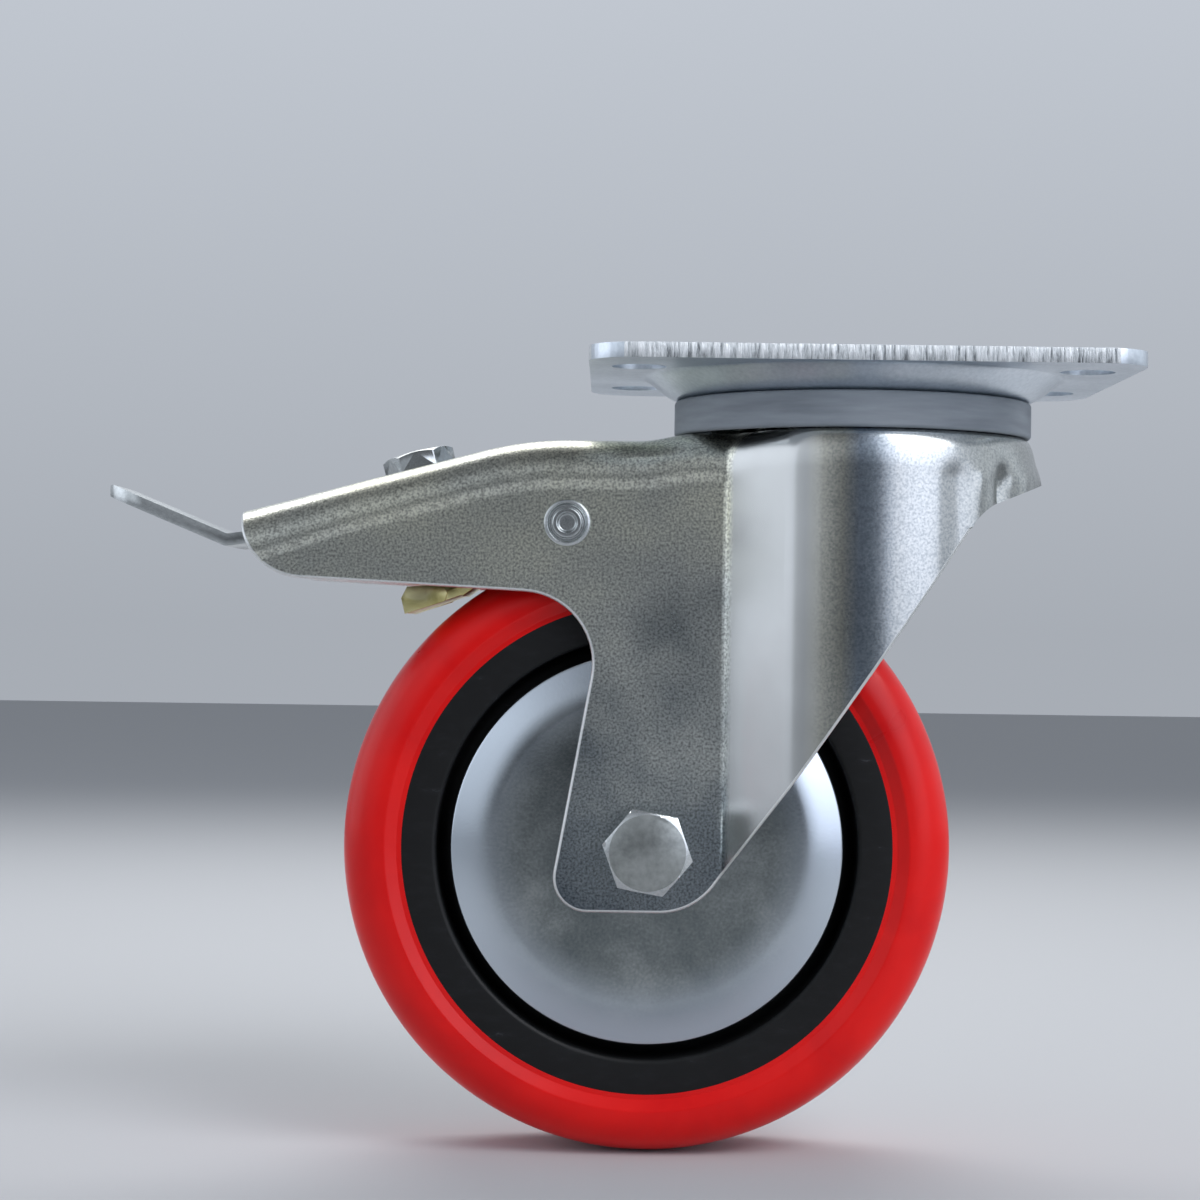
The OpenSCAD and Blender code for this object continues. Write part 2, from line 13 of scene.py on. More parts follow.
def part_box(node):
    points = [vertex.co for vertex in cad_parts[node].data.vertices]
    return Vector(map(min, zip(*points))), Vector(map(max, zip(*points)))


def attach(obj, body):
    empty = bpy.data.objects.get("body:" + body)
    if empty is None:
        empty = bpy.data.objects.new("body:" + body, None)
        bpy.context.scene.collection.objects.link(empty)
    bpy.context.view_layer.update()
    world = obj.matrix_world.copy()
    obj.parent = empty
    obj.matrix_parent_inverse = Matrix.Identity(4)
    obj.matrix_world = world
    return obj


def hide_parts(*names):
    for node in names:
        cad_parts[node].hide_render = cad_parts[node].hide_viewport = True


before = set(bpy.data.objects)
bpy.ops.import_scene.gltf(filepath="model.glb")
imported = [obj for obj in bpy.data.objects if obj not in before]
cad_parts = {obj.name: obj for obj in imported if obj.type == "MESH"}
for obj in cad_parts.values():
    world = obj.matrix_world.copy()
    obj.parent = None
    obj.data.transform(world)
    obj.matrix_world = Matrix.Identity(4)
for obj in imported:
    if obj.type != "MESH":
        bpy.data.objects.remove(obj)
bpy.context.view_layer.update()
MM = 0.001

# Sizes read from the frame


def box_mm(node):
    low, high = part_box(node)
    return Vector(low) / MM, Vector(high) / MM


TYRE_LOW, TYRE_HIGH = box_mm("tyre")
TYRE_R = (TYRE_HIGH.z - TYRE_LOW.z) / 2
TYRE_HALF = (TYRE_HIGH.y - TYRE_LOW.y) / 2
AXLE_X = (TYRE_LOW.x + TYRE_HIGH.x) / 2
AXLE_Z = (TYRE_LOW.z + TYRE_HIGH.z) / 2
CORE_LOW, CORE_HIGH = box_mm("wheel_core")
CORE_R = (CORE_HIGH.z - CORE_LOW.z) / 2
CORE_FACE = CORE_HIGH.y
COVER_LOW, COVER_HIGH = box_mm("far_dust_cover")
COVER_R = (COVER_HIGH.z - COVER_LOW.z) / 2
PLATE_LOW, PLATE_HIGH = box_mm("top_plate")
SEAL_LOW, SEAL_HIGH = box_mm("seal_ring")
SEAL_R = SEAL_HIGH.x
FORK_TOP = box_mm("fork")[1].z
PIN_LOW, PIN_HIGH = box_mm("pedal_pin")
PIN_X = (PIN_LOW.x + PIN_HIGH.x) / 2
PIN_Z = (PIN_LOW.z + PIN_HIGH.z) / 2

# Wheel: the tyre's grip on the core, its seam beside the core and the start of its flat side
TYRE_GRIP = 0.4
TYRE_SEAM = 0.6
TYRE_FLANK = 3.0
TYRE_SHOULDER_R = 8.0
# The core's rim stands inside the tyre's grip, its web is thin and its hub holds the bearings
CORE_RIM_R = CORE_R - 0.2
CORE_WEB_HALF = 4.0
HUB_R = 17.5
HUB_HALF = 12.2
BEARING_SEAT_R = 13.0
BEARING_STOP_R = 10.6
# Dust covers, which leave a dark groove to the core's rim
COVER_T = 1.8
COVER_DOME = 9.0
COVER_FALL = 2.2
COVER_FACE = max(abs(COVER_LOW.y), abs(COVER_HIGH.y)) - 1.2
COVER_BORE_R = 5.1
COVER_GROOVE = 2.8

# Top plate
PLATE_T = 3.0
PLATE_CORNER_R = 10.0
PLATE_WASTE = 7.0
HOLE_X = 45.0
HOLE_Y = 25.0
HOLE_R = 5.5
KING_HOLE_R = 7.0
# The centre is pressed down between these radii
PRESS_INNER_R = SEAL_R - 2.5
PRESS_OUTER_R = SEAL_R + 7.0

# Fork: sheet, flat walls, drum, and the facet between them with its crease and its blend
SHEET_T = 3.0
WALL_Y = 20.5
WALL_START = -142.0
DRUM_R = 38.3
FACET_TURN = math.radians(48.2)
FACET_DIST = 33.9
CREASE_R = 1.6
BLEND_R = 14.0
# Roof: its level on the arm, its crown round the swivel and its bend down towards the rear
CROWN_Z = FORK_TOP - 0.1
ROOF_Z = FORK_TOP - 1.9
CROWN_EDGE_R = 36.5
CROWN_RUN = 7.0
SADDLE_X = -45.0
SADDLE_RUN = 13.0
BEND_X = -58.4
BEND_R = 70.0
ARM_SLOPE = math.radians(15)
# Rolled edge of the arm. It grows a little on the drum and at the arm's end, and the drum's is narrow
ROLL_R = 7.5
ROLL_DRUM_GAIN = 0.3
ROLL_END_GAIN = 1.2
ROLL_END_X = -100.0
ROLL_END_RUN = 26.0
ROLL_NARROWING = 5.2
# The roll stands this much proud of the wall, over this run below it
BEAD = 0.5
BEAD_RUN = 3.5
KING_BORE_R = 8.5
# From here on, the front lip keeps its raw edge
LIP_X = 21.0


# Small tools for modelling


def ease(value):
    """A soft step from 0 to 1."""
    value = min(1, max(0, value))
    return value * value * (3 - 2 * value)


def deselect():
    if bpy.context.object and bpy.context.object.mode != "OBJECT":
        bpy.ops.object.mode_set(mode="OBJECT")
    bpy.ops.object.select_all(action="DESELECT")


def activate(piece):
    deselect()
    piece.select_set(True)
    bpy.context.view_layer.objects.active = piece


def edit_all(piece):
    """Opens a piece in edit mode with all of it selected."""
    activate(piece)
    bpy.ops.object.mode_set(mode="EDIT")
    bpy.ops.mesh.select_all(action="SELECT")


def leave_edit():
    bpy.ops.object.mode_set(mode="OBJECT")


def modify(piece, kind, **settings):
    """Adds a modifier with these settings and applies it."""
    activate(piece)
    modifier = piece.modifiers.new(kind.lower(), kind)
    for key, value in settings.items():
        setattr(modifier, key, value)
    bpy.ops.object.modifier_apply(modifier=modifier.name)


def cut(piece, tool, operation="DIFFERENCE"):
    """Boolean of the piece with a tool, which is then removed."""
    modify(piece, "BOOLEAN", object=tool, operation=operation, solver="EXACT")
    bpy.data.objects.remove(tool)


def merge_close(piece, gap):
    """Merges corners that are closer than the gap."""
    edit_all(piece)
    bpy.ops.mesh.remove_doubles(threshold=gap * MM)
    leave_edit()


def close_shell(piece):
    """Merges the seams of a new shape and turns its faces outwards."""
    merge_close(piece, 0.01)
    edit_all(piece)
    bpy.ops.mesh.normals_make_consistent(inside=False)
    leave_edit()


def dissolve_flat(piece, angle):
    """Joins faces that lie flat to each other within this angle in degrees."""
    edit_all(piece)
    bpy.ops.mesh.dissolve_limited(angle_limit=math.radians(angle))
    leave_edit()


def smooth(piece, angle):
    activate(piece)
    bpy.ops.object.shade_smooth_by_angle(angle=math.radians(angle))


def soften_edges(piece, width, segments, angle):
    """Breaks the sharp edges of a finished shape, as pressing and plating do."""
    modify(piece, "BEVEL", width=width * MM, segments=segments, limit_method="ANGLE",
           angle_limit=math.radians(angle))
    smooth(piece, angle)


def round_corners(points, radii, steps):
    """Points of a closed outline with each corner rounded to an arc of its radius."""
    result = []
    for i, (point, radius) in enumerate(zip(points, radii)):
        here = Vector(point)
        if radius == 0:
            result.append(here)
            continue
        back = (Vector(points[i - 1]) - here).normalized()
        on = (Vector(points[(i + 1) % len(points)]) - here).normalized()
        half = back.angle(on) / 2
        middle = here + (back + on).normalized() * radius / math.sin(half)
        start = here + back * radius / math.tan(half) - middle
        sweep = (math.pi - 2 * half) * (1 if (-back).cross(on) > 0 else -1)
        for k in range(steps + 1):
            turn = sweep * k / steps
            result.append(middle + Vector((start.x * math.cos(turn) - start.y * math.sin(turn),
                                           start.x * math.sin(turn) + start.y * math.cos(turn))))
    return result


def both_sides(half):
    """Corners of a turned outline and their radii, from (radius, height, corner radius) of its upper
    half, listed from the inside out."""
    rows = [(r, -h, corner) for r, h, corner in half] + list(reversed(half))
    return [row[:2] for row in rows], [row[2] for row in rows]


def draw_path(name, points, close):
    """A new piece with one chain of edges through the points, left in edit mode."""
    deselect()
    bpy.ops.mesh.primitive_plane_add(size=MM)
    piece = bpy.context.object
    piece.name = name
    bpy.ops.object.mode_set(mode="EDIT")
    bpy.ops.mesh.select_all(action="SELECT")
    bpy.ops.mesh.merge(type="CENTER")
    bpy.ops.transform.translate(value=Vector(points[0]) * MM)
    for before, after in zip(points, points[1:]):
        step = (Vector(after) - Vector(before)) * MM
        bpy.ops.mesh.extrude_region_move(TRANSFORM_OT_translate={"value": step})
    bpy.ops.mesh.select_all(action="SELECT")
    if close:
        bpy.ops.mesh.edge_face_add()
    return piece


def spun(name, profile, centre, axis, steps):
    """A turned piece: a closed profile of (radius, height), spun about Y or Z through the centre."""
    if axis == "Y":
        points = [Vector((centre[0] + r, h, centre[2])) for r, h in profile]
        line = (0, 1, 0)
    else:
        points = [Vector((centre[0] + r, centre[1], h)) for r, h in profile]
        line = (0, 0, 1)
    points.append(points[0])
    piece = draw_path(name, points, False)
    bpy.ops.mesh.spin(steps=steps, angle=2 * math.pi, center=Vector(centre) * MM, axis=line)
    leave_edit()
    close_shell(piece)
    return piece


def prism(name, outline, axis, low, high):
    """A straight solid: an outline carried along Y or Z from low to high."""
    if axis == "Y":
        points = [Vector((x, low, z)) for x, z in outline]
        rise = Vector((0, high - low, 0))
    else:
        points = [Vector((x, y, low)) for x, y in outline]
        rise = Vector((0, 0, high - low))
    piece = draw_path(name, points, True)
    bpy.ops.mesh.extrude_region_move(TRANSFORM_OT_translate={"value": rise * MM})
    leave_edit()
    close_shell(piece)
    return piece


def punch(radius, x, y, low, high):
    """An upright round cutter."""
    sides = 48
    turns = [2 * math.pi * k / sides for k in range(sides)]
    ring = [(x + radius * math.cos(turn), y + radius * math.sin(turn)) for turn in turns]
    return prism("punch", ring, "Z", low, high)


def shaped_copy(node, name, width):
    """A copy of a solid of the frame. With a width, its flat faces are cleaned and its edges broken."""
    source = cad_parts[node]
    piece = source.copy()
    piece.data = source.data.copy()
    piece.parent = None
    bpy.context.collection.objects.link(piece)
    piece.matrix_world = source.matrix_world.copy()
    piece.name = name
    close_shell(piece)
    if width:
        dissolve_flat(piece, 1)
        soften_edges(piece, width, 2, 30)
    else:
        smooth(piece, 18)
    return piece


def paint(piece, *materials):
    piece.data.materials.clear()
    for material in materials:
        piece.data.materials.append(material)


def seat(piece, body, node):
    """Lets a finished piece ride on its body and stand for the solid that it details."""
    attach(piece, body)
    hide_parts(node)


# Materials


def hue(code):
    """sRGB hex to a linear colour."""
    parts = [int(code[i:i + 2], 16) / 255 for i in (1, 3, 5)]
    return tuple(c / 12.92 if c <= 0.04045 else ((c + 0.055) / 1.055) ** 2.4 for c in parts) + (1.0,)


def feed(node, inputs):
    """Sets the inputs of a node to values, or links them from sockets."""
    for key, value in inputs.items():
        if isinstance(value, bpy.types.NodeSocket):
            node.id_data.links.new(value, node.inputs[key])
        else:
            node.inputs[key].default_value = value


def add(tree, kind, output, inputs, settings=None, stops=()):
    """Adds a node and gives its named output. Settings are its properties, stops are a ramp's colours."""
    made = tree.nodes.new(kind)
    for key, value in (settings or {}).items():
        setattr(made, key, value)
    feed(made, inputs)
    for stop in stops[2:]:
        made.color_ramp.elements.new(stop[0])
    for k, (place, code) in enumerate(stops):
        made.color_ramp.elements[k].position = place
        made.color_ramp.elements[k].color = hue(code)
    return made.outputs[output]


def per_mm(size):
    """Texture scale, in features per metre, for a feature of this size."""
    return 1 / (size * MM)


def new_material(name):
    """A material, its nodes, its shader and the place on the piece that its patterns read."""
    material = bpy.data.materials.new(name)
    material.use_nodes = True
    tree = material.node_tree
    return material, tree, tree.nodes["Principled BSDF"], add(tree, "ShaderNodeTexCoord", "Object", {})


# Zinc plating clouds over about this size, and its crystals stand up by about this much
CLOUD = 26.0
CRYSTAL = 0.06
TINTED = {"data_type": "RGBA"}
MULTIPLIED = {"data_type": "RGBA", "blend_type": "MULTIPLY"}


def zinc_plated_steel(name, dark, light, grain, rough_low, rough_high, bump):
    """Electroplated steel: an even tone with soft clouds, fine pale flecks and a faint crystal relief."""
    material, tree, shader, place = new_material(name)
    cloud = add(tree, "ShaderNodeTexNoise", "Fac", {
        "Vector": place, "Scale": per_mm(CLOUD), "Detail": 3.0, "Roughness": 0.55})
    fleck = add(tree, "ShaderNodeTexNoise", "Fac", {
        "Vector": place, "Scale": per_mm(grain), "Detail": 2.0, "Roughness": 0.6})
    crystal = add(tree, "ShaderNodeTexNoise", "Fac", {
        "Vector": place, "Scale": per_mm(grain * 0.8), "Detail": 2.0, "Roughness": 0.5})
    tone = add(tree, "ShaderNodeMath", "Value", {0: fleck, 1: 0.5, 2: cloud}, {"operation": "MULTIPLY_ADD"})
    feed(shader, {
        "Base Color": add(tree, "ShaderNodeValToRGB", "Color", {"Fac": tone}, stops=(
            (0.55, dark), (0.95, light))),
        "Roughness": add(tree, "ShaderNodeMapRange", "Result", {
            "Value": cloud, "To Min": rough_low, "To Max": rough_high}),
        "Normal": add(tree, "ShaderNodeBump", "Normal", {
            "Height": crystal, "Strength": bump, "Distance": CRYSTAL * MM}),
        "Metallic": 1.0})
    return material


# Painted shade: the walls darken from the arm down to the foot of the leg
PAINTED_SHADE_FOOT_Z = AXLE_Z - 15
PAINTED_SHADE_ARM_Z = ROOF_Z - 18


def matte_plating(tree, cloud, fleck, height):
    """Colour of the fork's flat walls, flecked: painted shade makes them grey at the foot, and they are
    paler and strawy towards the roof.
    """
    # Painted shade: a ramp with height, darkest at the foot of the leg
    tint_and_painted_light = add(tree, "ShaderNodeMapRange", "Result", {
        "Value": height, "From Min": PAINTED_SHADE_FOOT_Z * MM, "From Max": PAINTED_SHADE_ARM_Z * MM,
        "To Min": 0.0, "To Max": 0.5})
    shade = add(tree, "ShaderNodeMath", "Value", {0: cloud, 1: 0.55, 2: tint_and_painted_light}, {"operation": "MULTIPLY_ADD"})
    drift = add(tree, "ShaderNodeValToRGB", "Color", {"Fac": shade}, stops=(
        (0.22, "#68727C"), (0.45, "#A0A8AB"), (0.62, "#DDE0DA"), (0.85, "#EEEEDD")))
    speck = add(tree, "ShaderNodeValToRGB", "Color", {"Fac": fleck}, stops=(
        (0.32, "#A8A8A8"), (0.5, "#E2E2E2"), (0.62, "#FFFFFF")))
    return add(tree, "ShaderNodeMix", "Result", {"Factor": 1.0, "A": drift, "B": speck}, MULTIPLIED)


# The drum's straw and blue bands, partly a real plating tint and partly painted reflection of the room,
# change from the end of the facet to the front lip, and its grain starts with it
BAND_START_X = -12.0
BAND_END_X = 24.0
GRAIN_START_X = -11.0
GRAIN_FULL_X = -7.0


def burnished_plating(tree, cloud, fleck, forward):
    """Colour of facets and drum: satin, with straw and then blue bands round the drum, partly a real plating
    tint and partly painted reflection.
    """
    satin = add(tree, "ShaderNodeValToRGB", "Color", {"Fac": cloud}, stops=(
        (0.3, "#D0D2D0"), (0.7, "#DEE0DF")))
    along = add(tree, "ShaderNodeMapRange", "Result", {
        "Value": forward, "From Min": BAND_START_X * MM, "From Max": BAND_END_X * MM})
    # Straw and blue bands: partly a real plating tint, partly painted reflection
    tint_and_painted_light = add(tree, "ShaderNodeValToRGB", "Color", {"Fac": along}, stops=(
        (0.0, "#DEDEDE"), (0.1, "#F4F0E4"), (0.2, "#F6F2E6"), (0.29, "#D2DDEC"),
        (0.36, "#DAE4F0"), (0.5, "#FFFFFF"), (0.8, "#FFFFFF"), (1.0, "#DCDCD8")))
    satin_and_bands = add(tree, "ShaderNodeMix", "Result", {"Factor": 1.0, "A": satin, "B": tint_and_painted_light}, MULTIPLIED)
    grain = add(tree, "ShaderNodeValToRGB", "Color", {"Fac": fleck}, stops=(
        (0.34, "#D2D6DA"), (0.5, "#EEF0F2"), (0.64, "#FFFFFF")))
    grained = add(tree, "ShaderNodeMapRange", "Result", {
        "Value": forward, "From Min": GRAIN_START_X * MM, "From Max": GRAIN_FULL_X * MM})
    return add(tree, "ShaderNodeMix", "Result", {"Factor": grained, "A": satin_and_bands, "B": grain}, MULTIPLIED)


# The matte walls turn to burnished metal just outside the bead, and from the crown on to the front
BURNISH_START_Y = WALL_Y + BEAD + 0.2
BURNISH_FULL_Y = WALL_Y + BEAD + 1.4
BURNISH_START_X = -24.0
BURNISH_FULL_X = -12.0


def pressed_zinc_sheet():
    """Pressed fork: the flat walls keep a matte plating with fine flecks. The facets and the drum,
    which slid over the die, are burnished smooth."""
    material, tree, shader, place = new_material("zinc-plated steel, pressed fork")
    forward = add(tree, "ShaderNodeSeparateXYZ", "X", {"Vector": place})
    sideways, height = forward.node.outputs["Y"], forward.node.outputs["Z"]
    out = add(tree, "ShaderNodeMath", "Value", {0: sideways}, {"operation": "ABSOLUTE"})
    bulged = add(tree, "ShaderNodeMapRange", "Result", {
        "Value": out, "From Min": BURNISH_START_Y * MM, "From Max": BURNISH_FULL_Y * MM})
    burnish_and_rim_sheen = add(tree, "ShaderNodeMapRange", "Result", {
        "Value": forward, "From Min": BURNISH_START_X * MM, "From Max": BURNISH_FULL_X * MM})
    burnish = add(tree, "ShaderNodeMath", "Value", {0: bulged, 1: burnish_and_rim_sheen}, {"operation": "MAXIMUM"})
    cloud = add(tree, "ShaderNodeTexNoise", "Fac", {
        "Vector": place, "Scale": per_mm(CLOUD), "Detail": 3.0, "Roughness": 0.55})
    fleck = add(tree, "ShaderNodeTexNoise", "Fac", {
        "Vector": place, "Scale": per_mm(0.5), "Detail": 2.0, "Roughness": 0.6})
    dull = add(tree, "ShaderNodeMapRange", "Result", {"Value": cloud, "To Min": 0.24, "To Max": 0.38})
    worn = add(tree, "ShaderNodeMapRange", "Result", {"Value": cloud, "To Min": 0.20, "To Max": 0.26})
    relief = add(tree, "ShaderNodeMapRange", "Result", {"Value": burnish, "To Min": 0.5, "To Max": 0.05})
    feed(shader, {
        "Base Color": add(tree, "ShaderNodeMix", "Result", {
            "Factor": burnish, "A": matte_plating(tree, cloud, fleck, height),
            "B": burnished_plating(tree, cloud, fleck, forward)}, TINTED),
        "Roughness": add(tree, "ShaderNodeMix", "Result", {"Factor": burnish, "A": dull, "B": worn}),
        "Normal": add(tree, "ShaderNodeBump", "Normal", {
            "Height": fleck, "Strength": relief, "Distance": CRYSTAL * MM}),
        "Metallic": 1.0})
    return material


def dished_zinc_cover():
    """Dust cover: a stained, duller middle inside a bright bluish rim, whose brightness and blue are a
    painted reflection.
    """
    material, tree, shader, place = new_material("zinc-plated steel, dust cover")
    arm = add(tree, "ShaderNodeVectorMath", "Vector", {
        0: place, 1: (AXLE_X * MM, 0.0, AXLE_Z * MM)}, {"operation": "SUBTRACT"})
    flat = add(tree, "ShaderNodeVectorMath", "Vector", {
        0: arm, 1: (1.0, 0.0, 1.0)}, {"operation": "MULTIPLY"})
    radius = add(tree, "ShaderNodeVectorMath", "Value", {0: flat}, {"operation": "LENGTH"})
    # Painted reflection: a mask by distance from the axle that turns the dome and rim pale and bluish
    burnish_and_rim_sheen = add(tree, "ShaderNodeMapRange", "Result", {
        "Value": radius, "From Min": (COVER_R - COVER_DOME - 7) * MM, "From Max": (COVER_R - 1) * MM},
        {"interpolation_type": "SMOOTHSTEP"})
    cloud = add(tree, "ShaderNodeTexNoise", "Fac", {
        "Vector": place, "Scale": per_mm(20), "Detail": 6.0, "Roughness": 0.6})
    fleck = add(tree, "ShaderNodeTexNoise", "Fac", {"Vector": place, "Scale": per_mm(0.6), "Detail": 2.0})
    grain = add(tree, "ShaderNodeMath", "Value", {0: fleck, 1: 0.3, 2: cloud}, {"operation": "MULTIPLY_ADD"})
    stain = add(tree, "ShaderNodeValToRGB", "Color", {"Fac": grain}, stops=(
        (0.44, "#6A7274"), (0.64, "#8A9090"), (0.86, "#B2B7B6")))
    # The pale bluish rim colour is a painted reflection; the stained middle stays darker
    feed(shader, {
        "Base Color": add(tree, "ShaderNodeMix", "Result", {
            "Factor": burnish_and_rim_sheen, "A": stain, "B": hue("#D0D9E2")}, TINTED),
        "Roughness": add(tree, "ShaderNodeMapRange", "Result", {
            "Value": cloud, "To Min": 0.16, "To Max": 0.27}),
        "Normal": add(tree, "ShaderNodeBump", "Normal", {
            "Height": fleck, "Strength": 0.12, "Distance": CRYSTAL * MM}),
        "Metallic": 1.0})
    return material


def sheared_edge():
    """Cut face of the plate: bright, torn across its thickness into fine upright ridges."""
    material, tree, shader, place = new_material("sheared zinc-plated steel edge")
    upright = add(tree, "ShaderNodeMapping", "Vector", {"Vector": place, "Scale": (1.0, 1.0, 0.12)})
    ridges = add(tree, "ShaderNodeTexNoise", "Fac", {
        "Vector": upright, "Scale": per_mm(0.9), "Detail": 5.0, "Roughness": 0.7})
    feed(shader, {
        "Base Color": add(tree, "ShaderNodeValToRGB", "Color", {"Fac": ridges}, stops=(
            (0.36, "#74787A"), (0.46, "#C6CACB"), (0.62, "#F0F2F2"))),
        "Roughness": add(tree, "ShaderNodeMapRange", "Result", {
            "Value": ridges, "To Min": 0.22, "To Max": 0.42}),
        "Normal": add(tree, "ShaderNodeBump", "Normal", {
            "Height": ridges, "Strength": 0.8, "Distance": 0.5 * MM}),
        "Metallic": 1.0})
    return material


def cast_polyurethane():
    """Cast red tyre: even colour, glossy with soft flow clouds and a few rubbed dull patches."""
    material, tree, shader, place = new_material("cast red polyurethane")
    flow = add(tree, "ShaderNodeTexNoise", "Fac", {
        "Vector": place, "Scale": per_mm(22), "Detail": 4.0, "Distortion": 0.6})
    speck = add(tree, "ShaderNodeTexNoise", "Fac", {"Vector": place, "Scale": per_mm(1.2), "Detail": 2.0})
    feed(shader, {
        "Base Color": add(tree, "ShaderNodeValToRGB", "Color", {"Fac": flow}, stops=(
            (0.3, "#CE0A0E"), (0.7, "#E61612"))),
        "Roughness": add(tree, "ShaderNodeMapRange", "Result", {
            "Value": flow, "To Min": 0.22, "To Max": 0.40}),
        "Normal": add(tree, "ShaderNodeBump", "Normal", {
            "Height": speck, "Strength": 0.12, "Distance": 0.05 * MM}),
        "IOR": 1.42, "Specular IOR Level": 0.3, "Coat Weight": 0.10, "Coat Roughness": 0.10})
    return material


def moulded_polypropylene():
    """Black wheel core: matte moulded plastic with pale scuffs and a fine spark-eroded grain."""
    material, tree, shader, place = new_material("moulded black polypropylene")
    slanted = add(tree, "ShaderNodeMapping", "Vector", {
        "Vector": place, "Scale": (1.0, 1.0, 3.0), "Rotation": (0.0, 0.6, 0.0)})
    scuff = add(tree, "ShaderNodeTexNoise", "Fac", {
        "Vector": slanted, "Scale": per_mm(7), "Detail": 8.0, "Roughness": 0.75})
    grain = add(tree, "ShaderNodeTexNoise", "Fac", {"Vector": place, "Scale": per_mm(0.5), "Detail": 2.0})
    feed(shader, {
        "Base Color": add(tree, "ShaderNodeValToRGB", "Color", {"Fac": scuff}, stops=(
            (0.50, "#0B0C0D"), (0.64, "#131416"), (0.76, "#44484D"))),
        "Roughness": add(tree, "ShaderNodeMapRange", "Result", {
            "Value": scuff, "To Min": 0.38, "To Max": 0.62}),
        "Normal": add(tree, "ShaderNodeBump", "Normal", {
            "Height": grain, "Strength": 0.25, "Distance": 0.06 * MM}),
        "IOR": 1.49, "Specular IOR Level": 0.3})
    return material


def moulded_polyethylene():
    """Grey seal ring: soft matte plastic, slightly streaked along its rim."""
    material, tree, shader, place = new_material("moulded grey polyethylene")
    level = add(tree, "ShaderNodeMapping", "Vector", {"Vector": place, "Scale": (0.4, 0.4, 3.0)})
    streak = add(tree, "ShaderNodeTexNoise", "Fac", {"Vector": level, "Scale": per_mm(6), "Detail": 5.0})
    feed(shader, {
        "Base Color": add(tree, "ShaderNodeValToRGB", "Color", {"Fac": streak}, stops=(
            (0.3, "#7E858C"), (0.7, "#959CA3"))),
        "Roughness": add(tree, "ShaderNodeMapRange", "Result", {
            "Value": streak, "To Min": 0.5, "To Max": 0.66}),
        "Normal": add(tree, "ShaderNodeBump", "Normal", {
            "Height": streak, "Strength": 0.1, "Distance": 0.1 * MM}),
        "IOR": 1.5})
    return material


def yellow_passivated_steel():
    """Brake leaf: zinc with a yellow chromate coat, straw to bronze with a faint rainbow drift."""
    material, tree, shader, place = new_material("yellow-passivated steel")
    drift = add(tree, "ShaderNodeTexNoise", "Fac", {
        "Vector": place, "Scale": per_mm(6), "Detail": 4.0, "Distortion": 0.8})
    feed(shader, {
        "Base Color": add(tree, "ShaderNodeValToRGB", "Color", {"Fac": drift}, stops=(
            (0.25, "#B3A868"), (0.45, "#D2C88C"), (0.6, "#E0D8A8"), (0.78, "#BCAA80"))),
        "Roughness": add(tree, "ShaderNodeMapRange", "Result", {
            "Value": drift, "To Min": 0.24, "To Max": 0.42}),
        "Metallic": 1.0})
    return material


def ground_bearing_steel():
    """Balls and rings: ground and lapped steel, bright, with a thin film of grease here and there."""
    material, tree, shader, place = new_material("ground bearing steel")
    grease = add(tree, "ShaderNodeTexNoise", "Fac", {"Vector": place, "Scale": per_mm(5), "Detail": 3.0})
    feed(shader, {
        "Base Color": add(tree, "ShaderNodeValToRGB", "Color", {"Fac": grease}, stops=(
            (0.35, "#B9BBBD"), (0.75, "#D9DBDC"))),
        "Roughness": add(tree, "ShaderNodeMapRange", "Result", {
            "Value": grease, "To Min": 0.10, "To Max": 0.24}),
        "Metallic": 1.0})
    return material


FORK_ZINC = pressed_zinc_sheet()
COVER_ZINC = dished_zinc_cover()
EDGE_ZINC = sheared_edge()
# The fork's cut rim is bright and dull, the plate smooth and bluish, the fasteners clean and shiny,
# and the bolt's forged head grey and rough
RIM_ZINC = zinc_plated_steel(
    "zinc-plated steel, sheared rim", "#D4D7D6", "#F1F3F2", 0.6, 0.36, 0.5, 0.2)
PLATE_ZINC = zinc_plated_steel(
    "zinc-plated steel, plate", "#C9D2DA", "#E6EDF4", 0.9, 0.27, 0.37, 0.03)
SCREW_ZINC = zinc_plated_steel(
    "zinc-plated steel, fasteners", "#B4B8B8", "#DCE0E0", 0.9, 0.20, 0.30, 0.02)
FORGED_ZINC = zinc_plated_steel(
    "zinc-plated steel, forged head", "#7F8381", "#B3B7B5", 1.6, 0.26, 0.40, 0.5)
RED_PU = cast_polyurethane()
BLACK_PP = moulded_polypropylene()
GREY_PE = moulded_polyethylene()
YELLOW_ZINC = yellow_passivated_steel()
BEARING_STEEL = ground_bearing_steel()


# Wheel


def make_tyre():
    corners, radii = both_sides([
        (CORE_R - TYRE_GRIP, CORE_FACE, 0),
        (CORE_R + TYRE_SEAM, CORE_FACE, 0.5),
        (CORE_R + TYRE_FLANK, TYRE_HALF, 1.5),
        (TYRE_R, TYRE_HALF, TYRE_SHOULDER_R)])
    piece = spun("tyre_cast", round_corners(corners, radii, 12), (AXLE_X, 0, AXLE_Z), "Y", 192)
    smooth(piece, 50)
    paint(piece, RED_PU)
    seat(piece, "wheel", "tyre")


